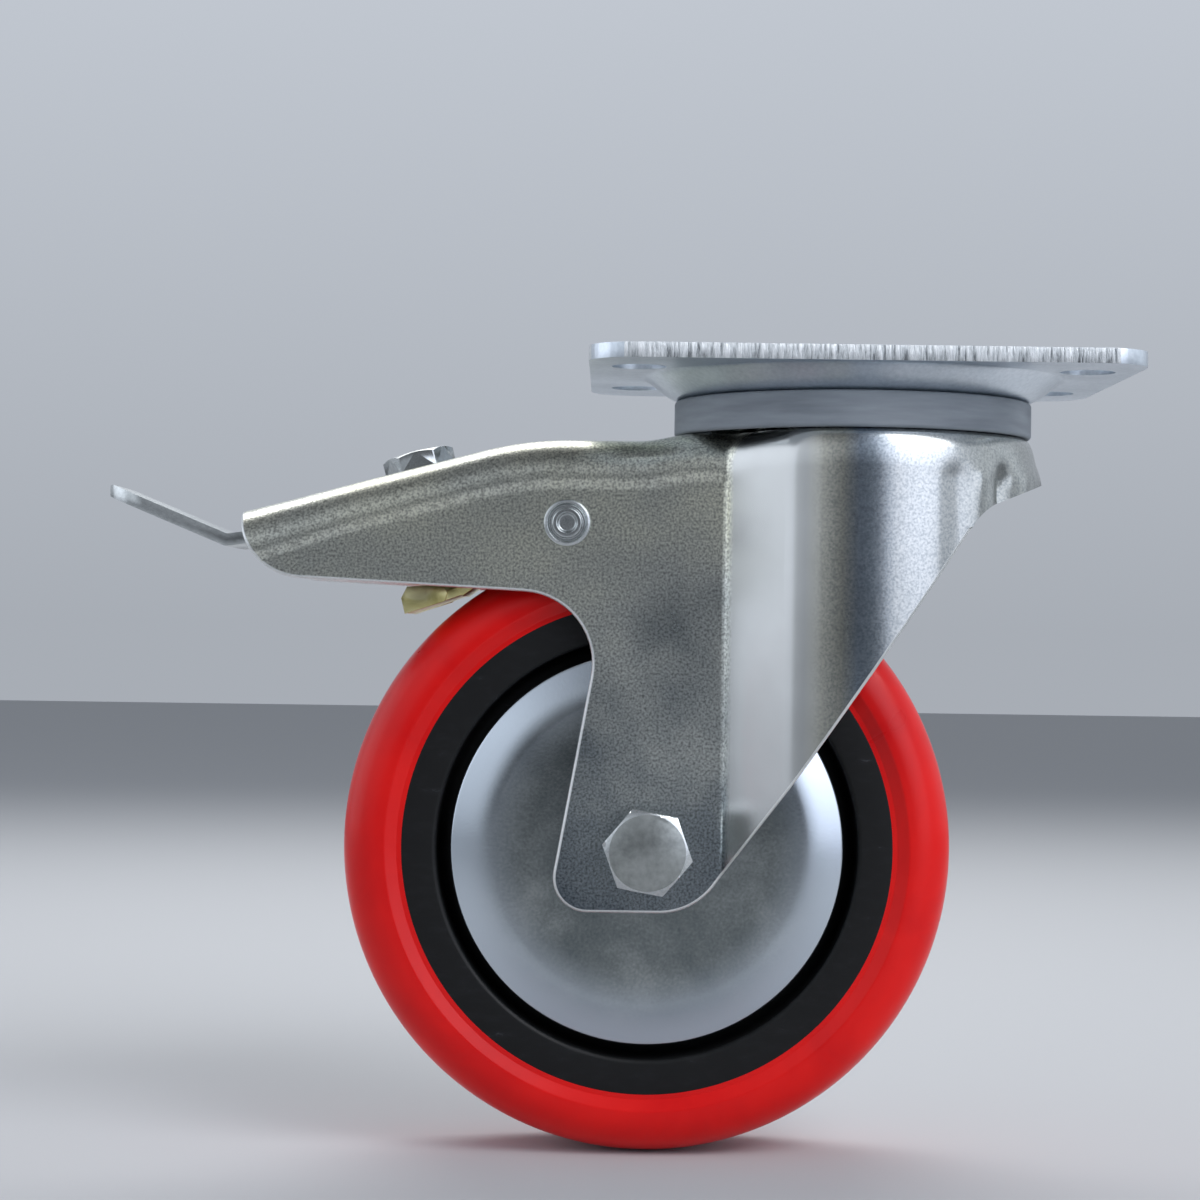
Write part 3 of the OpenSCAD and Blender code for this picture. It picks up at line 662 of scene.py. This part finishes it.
def make_core():
    """Core with a thin web: its hub stands out to the bearings, its rim to the tyre's faces."""
    groove = COVER_R + COVER_GROOVE
    corners, radii = both_sides([
        (BEARING_STOP_R, CORE_WEB_HALF, 0),
        (BEARING_SEAT_R, CORE_WEB_HALF, 0),
        (BEARING_SEAT_R, HUB_HALF, 0.3),
        (HUB_R, HUB_HALF, 0.5),
        (HUB_R, CORE_WEB_HALF, 2),
        (groove, CORE_WEB_HALF, 2),
        (groove, CORE_FACE, 1.0),
        (CORE_RIM_R, CORE_FACE, 0.3)])
    piece = spun("core_moulding", round_corners(corners, radii, 6), (AXLE_X, 0, AXLE_Z), "Y", 160)
    smooth(piece, 40)
    paint(piece, BLACK_PP)
    seat(piece, "wheel", "wheel_core")


def dome_fall(share):
    """Fall of the cover's dome, 0 to 1, from its start to its rim: a soft turn, then an even slope."""
    turn = 0.5
    if share < turn:
        return share * share / turn / (2 - turn)
    return (2 * share - turn) / (2 - turn)


def make_cover(node, side):
    """Dished cover: flat in the middle, falling in a soft dome towards its rolled rim."""
    steps = 24
    under = COVER_FACE - COVER_T
    crown = COVER_FACE - COVER_FALL
    rim = under - COVER_FALL
    profile = [
        (COVER_BORE_R, under), (COVER_R - COVER_DOME, under), (COVER_R - COVER_T, under - 1.4),
        (COVER_R - COVER_T, rim), (COVER_R - 0.4, rim), (COVER_R, rim + 0.4),
        (COVER_R, crown - 0.5), (COVER_R - 0.1, crown - 0.15)]
    for k in range(1, steps + 1):
        share = k / steps
        profile.append((COVER_R - COVER_DOME * share, COVER_FACE - COVER_FALL * dome_fall(1 - share)))
    profile.append((COVER_BORE_R, COVER_FACE))
    name = node.replace("dust_cover", "cover_pressing")
    piece = spun(name, [(r, side * h) for r, h in profile], (AXLE_X, 0, AXLE_Z), "Y", 160)
    smooth(piece, 40)
    paint(piece, COVER_ZINC)
    seat(piece, "fork", node)


# Swivel head


def make_seal():
    """Ring with a thin skirt and a thicker top below the plate."""
    low, high, hook = SEAL_LOW.z - 0.3, SEAL_HIGH.z, SEAL_HIGH.z - 1.5
    profile = round_corners(
        [(SEAL_R - 2, low), (SEAL_R, low), (SEAL_R, high), (SEAL_R - 4, high), (SEAL_R - 4, hook),
         (SEAL_R - 2, hook)],
        [0.3, 0.7, 0.7, 0.3, 0, 0.4], 6)
    piece = spun("seal_moulding", profile, (0, 0, 0), "Z", 160)
    smooth(piece, 40)
    paint(piece, GREY_PE)
    seat(piece, "plate", "seal_ring")


def make_plate():
    """Sheet with a pressed centre: a grid pulled down by a smooth press, thickened, then blanked out."""
    depth = -PLATE_LOW.z - PLATE_T
    half_x, half_y = PLATE_HIGH.x, PLATE_HIGH.y
    deselect()
    bpy.ops.mesh.primitive_grid_add(x_subdivisions=120, y_subdivisions=100, size=2)
    piece = bpy.context.object
    piece.name = "plate_pressing"
    for vertex in piece.data.vertices:
        x = vertex.co.x * (half_x + PLATE_WASTE)
        y = vertex.co.y * (half_y + PLATE_WASTE)
        rise = ease((math.hypot(x, y) - PRESS_INNER_R) / (PRESS_OUTER_R - PRESS_INNER_R))
        vertex.co = Vector((x, y, -depth * (1 - rise))) * MM
    modify(piece, "SOLIDIFY", thickness=PLATE_T * MM, offset=-1, use_even_offset=True)
    low, high = -20, 10
    outline = round_corners([(-half_x, -half_y), (half_x, -half_y), (half_x, half_y), (-half_x, half_y)],
                            [PLATE_CORNER_R] * 4, 10)
    cut(piece, prism("blank", outline, "Z", low, high), "INTERSECT")
    for x in (-HOLE_X, HOLE_X):
        for y in (-HOLE_Y, HOLE_Y):
            cut(piece, punch(HOLE_R, x, y, low, high))
    cut(piece, punch(KING_HOLE_R, 0, 0, low, high))
    soften_edges(piece, 0.45, 3, 40)
    paint(piece, PLATE_ZINC, EDGE_ZINC)
    for face in piece.data.polygons:
        upright = abs(face.normal.z) < 0.25
        short_x = half_x - abs(face.center.x) / MM
        short_y = half_y - abs(face.center.y) / MM
        if upright and min(short_x, short_y) < 0.5:
            face.material_index = 1
    seat(piece, "plate", "top_plate")


# Fork

# The facet's direction and outward normal, and the centres of its crease and its blend into the drum
FACET_ALONG = Vector((math.cos(FACET_TURN), math.sin(FACET_TURN)))
FACET_OUT = Vector((-FACET_ALONG.y, FACET_ALONG.x))
CREASE_Y = WALL_Y + CREASE_R
CREASE = Vector(((FACET_OUT.y * CREASE_Y - FACET_DIST - CREASE_R) / FACET_ALONG.y, CREASE_Y))
BLEND_REACH = math.sqrt((DRUM_R - BLEND_R) ** 2 - (FACET_DIST - BLEND_R) ** 2)
BLEND = FACET_OUT * (FACET_DIST - BLEND_R) + FACET_ALONG * BLEND_REACH


def fork_plan(place, inset):
    """A point of the far half of the fork's plan, set in from its outer face.

    place runs 0 to 1 along the wall, 1 to 2 round the crease, 2 to 3 along the flat facet,
    3 to 4 round the blend and 4 to 5 round the drum to its front.
    """
    leg = min(4, int(place))
    part = place - leg
    if leg == 0:
        return Vector((WALL_START + (CREASE.x - WALL_START) * part, WALL_Y - inset))
    if leg == 1:
        turn = FACET_TURN * part
        return CREASE + Vector((math.sin(turn), -math.cos(turn))) * (CREASE_R + inset)
    if leg == 2:
        first = CREASE - FACET_OUT * (CREASE_R + inset)
        last = BLEND + FACET_OUT * (BLEND_R - inset)
        return first.lerp(last, part)
    ends = math.atan2(BLEND.y, BLEND.x)
    if leg == 3:
        begins = math.atan2(FACET_OUT.y, FACET_OUT.x)
        turn = begins + (ends - begins) * part
        return BLEND + Vector((math.cos(turn), math.sin(turn))) * (BLEND_R - inset)
    turn = ends * (1 - part)
    return Vector((math.cos(turn), math.sin(turn))) * (DRUM_R - inset)


def roof_height(x, y):
    """Height of the roof: level, bent down over the arm, and raised to the crown round the swivel."""
    fall = BEND_X - x
    bend_end = BEND_R * math.sin(ARM_SLOPE)
    if fall <= 0:
        level = ROOF_Z
    elif fall < bend_end:
        level = ROOF_Z - BEND_R + math.sqrt(BEND_R ** 2 - fall ** 2)
    else:
        level = ROOF_Z - BEND_R * (1 - math.cos(ARM_SLOPE)) - (fall - bend_end) * math.tan(ARM_SLOPE)
    crown = ease((CROWN_EDGE_R - math.hypot(x, y)) / CROWN_RUN)
    saddle = ease((x - SADDLE_X) / SADDLE_RUN)
    return level + (CROWN_Z - level) * max(crown, saddle)


# Folds of the front lip: how far out, at which angle from the front, and how wide, in degrees
LIP_FOLDS = ((-1.2, 43, 3.2), (0.7, 52, 4), (-0.55, 62, 4.5))


def lip_crumple(point):
    """How far the deep-pressed front lip is pushed in or out, by its angle from the front and its height."""
    turn = math.degrees(math.atan2(abs(point.y), point.x))
    deep = ease((CROWN_Z - 4 - point.z) / 6)
    flap = 1.1 * ease((40 - turn) / 6)
    folds = sum(out * math.exp(-((turn - angle) / width) ** 2) for out, angle, width in LIP_FOLDS)
    ripple = 0.16 * math.sin(turn * 0.9 + point.z * 0.55) * ease((60 - turn) / 8)
    return deep * (flap + folds + ripple)


# Columns of the grid: stations along the wall, close together at the bend and towards the crease,
# then even steps on each further leg of the plan
WALL_STATIONS = (
    [WALL_START] + [-126 + 5 * k for k in range(6)] + [-90, -77] + [-75.5 + 2 * k for k in range(9)]
    + [-50] + [-45.9 + 1.2 * k for k in range(16)])
LEG_STEPS = {1: 6, 2: 4, 3: 12, 4: 48}
FORK_COLUMNS = (
    [(x - WALL_START) / (CREASE.x - WALL_START) for x in WALL_STATIONS]
    + [leg + k / steps for leg, steps in LEG_STEPS.items() for k in range(steps)] + [5])
# Rows of the grid: the wall's foot, drops below the roll, then the roll and half of the roof
FOOT_Z = AXLE_Z - 18
WALL_DROPS = [38.0, 32.0, 27.0, 22.0, 18.0, 14.0, 10.5, 7.5, 5.0] + [3.5 - 0.5 * k for k in range(8)]
WALL_ROWS = len(WALL_DROPS)
ROLL_ROWS = 10
ROOF_ROWS = 10


def fork_point(column, row):
    """The grid's corner laid on the outside of the die."""
    place = FORK_COLUMNS[column]
    past_crease = place - 1
    roll = ROLL_R + ROLL_DRUM_GAIN * ease(past_crease)
    roll += ROLL_END_GAIN * ease((ROLL_END_X - fork_plan(place, 0).x) / ROLL_END_RUN)
    reach = roll - ROLL_NARROWING * ease(past_crease / 2)
    bead = BEAD * (1 - ease(past_crease / 1.5))
    inner = fork_plan(place, reach)
    spring = roof_height(inner.x, inner.y) - roll
    if row == 0:
        flat = fork_plan(place, 0)
        height = FOOT_Z
    elif row <= WALL_ROWS:
        below = WALL_DROPS[row - 1]
        flat = fork_plan(place, -bead * ease(1 - below / BEAD_RUN))
        height = spring - below
    elif row <= WALL_ROWS + ROLL_ROWS:
        turn = math.pi / 2 * (row - WALL_ROWS) / ROLL_ROWS
        flat = fork_plan(place, (reach + bead) * (1 - math.cos(turn)) - bead)
        height = spring + roll * math.sin(turn)
    else:
        share = 1 - (row - WALL_ROWS - ROLL_ROWS) / ROOF_ROWS
        flat = Vector((inner.x, inner.y * share))
        height = roof_height(flat.x, flat.y)
    point = Vector((flat.x, flat.y, height))
    if place > 3 and row <= WALL_ROWS + ROLL_ROWS:
        outward = Vector((point.x, point.y, 0)).normalized()
        point += outward * lip_crumple(point)
    return point


def face_outwards(piece):
    """Turns the open sheet of the fork so that its wall faces away from the wheel."""
    wall = piece.data.polygons[0]
    if wall.normal.y * wall.center.y < 0:
        edit_all(piece)
        bpy.ops.mesh.flip_normals()
        leave_edit()


def round_outline(piece):
    """Rounds the sheared outline of the fork and gives the round its bright rim, short of the lip."""
    activate(piece)
    bpy.ops.object.mode_set(mode="EDIT")
    bpy.ops.mesh.select_mode(type="EDGE")
    bpy.ops.mesh.select_all(action="DESELECT")
    bpy.ops.mesh.edges_select_sharp(sharpness=math.radians(50))
    leave_edit()
    points = piece.data.vertices
    for edge in piece.data.edges:
        front = max(points[k].co.x for k in edge.vertices) > LIP_X * MM
        edge.select = edge.select and not front
    bpy.ops.object.mode_set(mode="EDIT")
    bpy.ops.mesh.bevel(offset=0.6 * MM, segments=3, material=1, clamp_overlap=False)
    bpy.ops.mesh.select_mode(type="VERT")
    leave_edit()


def fork_side_view():
    """Outline that the fork is trimmed to, seen from the side."""
    leg_z = AXLE_Z - 12.7
    front = DRUM_R + 7
    corners = (
        # The arm: its end, and its lower rear corner
        (-132.7, 0, 0), (-123.4, ROOF_Z - 28.6, 13),
        # The leg: the hollow above the wheel, and the two corners of the foot
        (AXLE_X - 9, ROOF_Z - 32, 14.6), (AXLE_X - 20.4, leg_z, 7), (AXLE_X + 9.8, leg_z, 14),
        # The apron's rise to the front lip, and a waste corner past the front
        (24, CROWN_Z - 15.4, 12), (front, CROWN_Z - 6.9, 0), (front, 0, 0))
    return round_corners([corner[:2] for corner in corners], [corner[2] for corner in corners], 14)


def make_fork():
    """One pressing: a grid laid on the form of the die, mirrored, thickened and trimmed to its side view."""
    columns = len(FORK_COLUMNS)
    rows = WALL_ROWS + ROLL_ROWS + ROOF_ROWS + 1
    deselect()
    bpy.ops.mesh.primitive_grid_add(x_subdivisions=columns - 1, y_subdivisions=rows - 1, size=1)
    piece = bpy.context.object
    piece.name = "fork_pressing"
    for vertex in piece.data.vertices:
        column = round((vertex.co.x + 0.5) * (columns - 1))
        row = round((vertex.co.y + 0.5) * (rows - 1))
        vertex.co = fork_point(column, row) * MM
    modify(piece, "MIRROR", use_axis=(False, True, False), use_mirror_merge=True,
           merge_threshold=0.02 * MM)
    close_shell(piece)
    face_outwards(piece)
    dissolve_flat(piece, 0.2)
    modify(piece, "SOLIDIFY", thickness=SHEET_T * MM, offset=-1, use_even_offset=True)
    cut(piece, prism("side_view", fork_side_view(), "Y", -60, 60), "INTERSECT")
    cut(piece, punch(KING_BORE_R, 0, 0, -40, 0))
    paint(piece, FORK_ZINC, RIM_ZINC)
    merge_close(piece, 0.12)
    round_outline(piece)
    smooth(piece, 40)
    modify(piece, "WEIGHTED_NORMAL", mode="FACE_AREA", weight=100, keep_sharp=True)
    seat(piece, "fork", "fork")


# Fasteners and brake


def make_pin():
    """Riveted pin: a coined ring round a dimpled stub on the near side, a low head on the far side."""
    near, far = -WALL_Y, WALL_Y
    corners = (
        # Dimple, stub and the coined ring round it
        (0.01, near - 0.9, 0), (1.7, near - 0.9, 0.3), (2.1, near - 1.6, 0.2), (3.0, near - 1.6, 0.3),
        (3.1, near - 0.1, 0.2), (3.7, near - 0.1, 0.2), (4.0, near - 0.75, 0.2), (4.7, near - 0.6, 0.3),
        (4.9, near + 0.3, 0),
        # Shank
        (3.0, near + 0.3, 0), (3.0, far, 0),
        # Closed head
        (5.0, far, 0.3), (4.6, far + 1.2, 0.8), (3.0, far + 2.0, 0.8), (0.01, far + 2.0, 0))
    profile = round_corners([corner[:2] for corner in corners], [corner[2] for corner in corners], 5)
    piece = spun("pin_rivet", profile, (PIN_X, 0, PIN_Z), "Y", 64)
    smooth(piece, 40)
    paint(piece, SCREW_ZINC)
    seat(piece, "fork", "pedal_pin")


def forge_head(piece):
    """Gives the outer face of the axle bolt's head its forged finish."""
    top = min(corner.co.y for corner in piece.data.vertices)
    for face in piece.data.polygons:
        if face.normal.y < -0.99 and face.center.y < top + 0.1 * MM:
            face.material_index = 1


def make_copies():
    """Pieces whose solids already have their full shape get their finish, and sheets broken edges."""
    fasteners = {
        "fork": ("axle_bolt", "axle_nut", "axle_washer", "adjusting_bolt", "adjuster_nut"),
        "plate": ("king_pin", "king_nut")}
    for body, nodes in fasteners.items():
        for node in nodes:
            piece = shaped_copy(node, node + "_finished", 0)
            paint(piece, SCREW_ZINC, *([FORGED_ZINC] if node == "axle_bolt" else []))
            seat(piece, body, node)
            if node == "axle_bolt":
                forge_head(piece)
    pedal = shaped_copy("brake_pedal", "brake_pedal_finished", 0.4)
    paint(pedal, SCREW_ZINC)
    seat(pedal, "pedal", "brake_pedal")
    leaf = shaped_copy("brake_leaf", "brake_leaf_finished", 0.3)
    paint(leaf, YELLOW_ZINC)
    seat(leaf, "leaf", "brake_leaf")


def finish_solids():
    """Solids that show as they are: the balls, rings, race and spacer inside."""
    for node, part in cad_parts.items():
        if not part.hide_render:
            paint(part, BEARING_STEEL if "ball" in node or "_ring" in node else SCREW_ZINC)


# Studio


def make_floor():
    """Pale paper just below the tyre."""
    gap = 0.4
    deselect()
    bpy.ops.mesh.primitive_plane_add(size=6, location=(0, 0, (TYRE_LOW.z - gap) * MM))
    floor = bpy.context.object
    floor.name = "studio_floor"
    material, tree, shader, place = new_material("pale studio paper")
    feed(shader, {"Base Color": hue("#B8BABD"), "Roughness": 0.85})
    paint(floor, material)


def make_room():
    """A plain pale room, darker behind the camera and overhead, with lighter walls at both sides."""
    world = bpy.data.worlds.new("studio")
    world.use_nodes = True
    room = world.node_tree
    way = add(room, "ShaderNodeTexCoord", "Generated", {})
    x = add(room, "ShaderNodeSeparateXYZ", "X", {"Vector": way})
    y, z = x.node.outputs["Y"], x.node.outputs["Z"]
    back = add(room, "ShaderNodeMapRange", "Result", {
        "Value": y, "From Min": -1.0, "From Max": 0.4, "To Min": 0.06, "To Max": 0.74})
    left = add(room, "ShaderNodeMapRange", "Result", {
        "Value": x, "From Min": -0.15, "From Max": -0.45, "To Min": 0.0, "To Max": 0.95})
    # The left wall ends before the backdrop that the camera sees
    short = add(room, "ShaderNodeMapRange", "Result", {"Value": y, "From Min": 0.5, "From Max": 0.1})
    right = add(room, "ShaderNodeMapRange", "Result", {
        "Value": x, "From Min": 0.72, "From Max": 0.92, "To Min": 0.0, "To Max": 0.7})
    upper = add(room, "ShaderNodeMapRange", "Result", {
        "Value": z, "From Min": 0.0, "From Max": 0.35, "To Min": 0.0, "To Max": 0.42})
    ceiling = add(room, "ShaderNodeMapRange", "Result", {
        "Value": z, "From Min": 0.4, "From Max": 0.85, "To Min": 1.0, "To Max": 0.2})
    walls = add(room, "ShaderNodeMath", "Value", {0: left, 1: short, 2: back}, {"operation": "MULTIPLY_ADD"})
    for wall in (right, upper):
        walls = add(room, "ShaderNodeMath", "Value", {0: walls, 1: wall}, {"operation": "ADD"})
    level = add(room, "ShaderNodeMath", "Value", {0: walls, 1: ceiling}, {"operation": "MULTIPLY"})
    feed(room.nodes["Background"], {"Color": hue("#C0C6CF"), "Strength": level})
    bpy.context.scene.world = world


def make_lamps():
    """Four softboxes: place, aim, width and height in metres, power in watts, spread and colour."""
    for name, place, aim, size, watts, spread, colour in (
        ("left softbox", (-1.0, 0.05, 0.05), (-0.05, 0, -0.06), (0.9, 0.9), 1.35, 180, "#EEF3FF"),
        ("right softbox", (0.55, -0.70, 0.28), (0, 0, -0.06), (0.8, 1.4), 1.4, 80, "#EAF0FF"),
        ("top softbox", (-0.1, 0.8, 0.9), (-0.05, 0.3, -0.16), (1.3, 0.7), 3.0, 80, "#FFFFFF"),
        ("high softbox", (0.65, -0.55, 0.75), (-0.05, 0, -0.08), (0.8, 0.6), 1.6, 80, "#FFFFFF"),
    ):
        lamp = bpy.data.lights.new(name, "AREA")
        lamp.shape = "RECTANGLE"
        lamp.size, lamp.size_y = size
        lamp.energy = watts
        lamp.spread = math.radians(spread)
        lamp.color = hue(colour)[:3]
        holder = bpy.data.objects.new(name, lamp)
        holder.location = place
        holder.rotation_mode = "QUATERNION"
        holder.rotation_quaternion = (Vector(aim) - Vector(place)).to_track_quat("-Z", "Y")
        bpy.context.collection.objects.link(holder)


# Camera, solved from the photograph: its place, and the pixel where the view straight along +Y meets
# a frame of 1200 by 1200 pixels
CAMERA_PLACE = (-49.6, -572.3, -55.2)
FRAME_PIXELS = 1200
VANISH_X = 613
VANISH_Y = 626
FOCAL_PIXELS = 2727
CAMERA_ROLL = 0.014
SENSOR = 36


def make_camera():
    camera = bpy.data.cameras.new("camera")
    camera.sensor_width = SENSOR
    camera.lens = SENSOR * FOCAL_PIXELS / FRAME_PIXELS
    camera.clip_start = 0.01
    holder = bpy.data.objects.new("camera", camera)
    holder.location = Vector(CAMERA_PLACE) * MM
    right = (FRAME_PIXELS / 2 - VANISH_X) / FOCAL_PIXELS
    up = (VANISH_Y - FRAME_PIXELS / 2) / FOCAL_PIXELS
    holder.rotation_mode = "QUATERNION"
    holder.rotation_quaternion = (
        Vector((right, 1, up)).to_track_quat("-Z", "Y") @ Quaternion((0, 0, 1), CAMERA_ROLL))
    bpy.context.collection.objects.link(holder)
    bpy.context.scene.camera = holder
    bpy.context.scene.view_settings.view_transform = "Standard"


make_camera()
make_floor()
make_room()
make_lamps()
make_tyre()
make_core()
make_cover("near_dust_cover", -1)
make_cover("far_dust_cover", 1)
make_seal()
make_plate()
make_fork()
make_pin()
make_copies()
finish_solids()
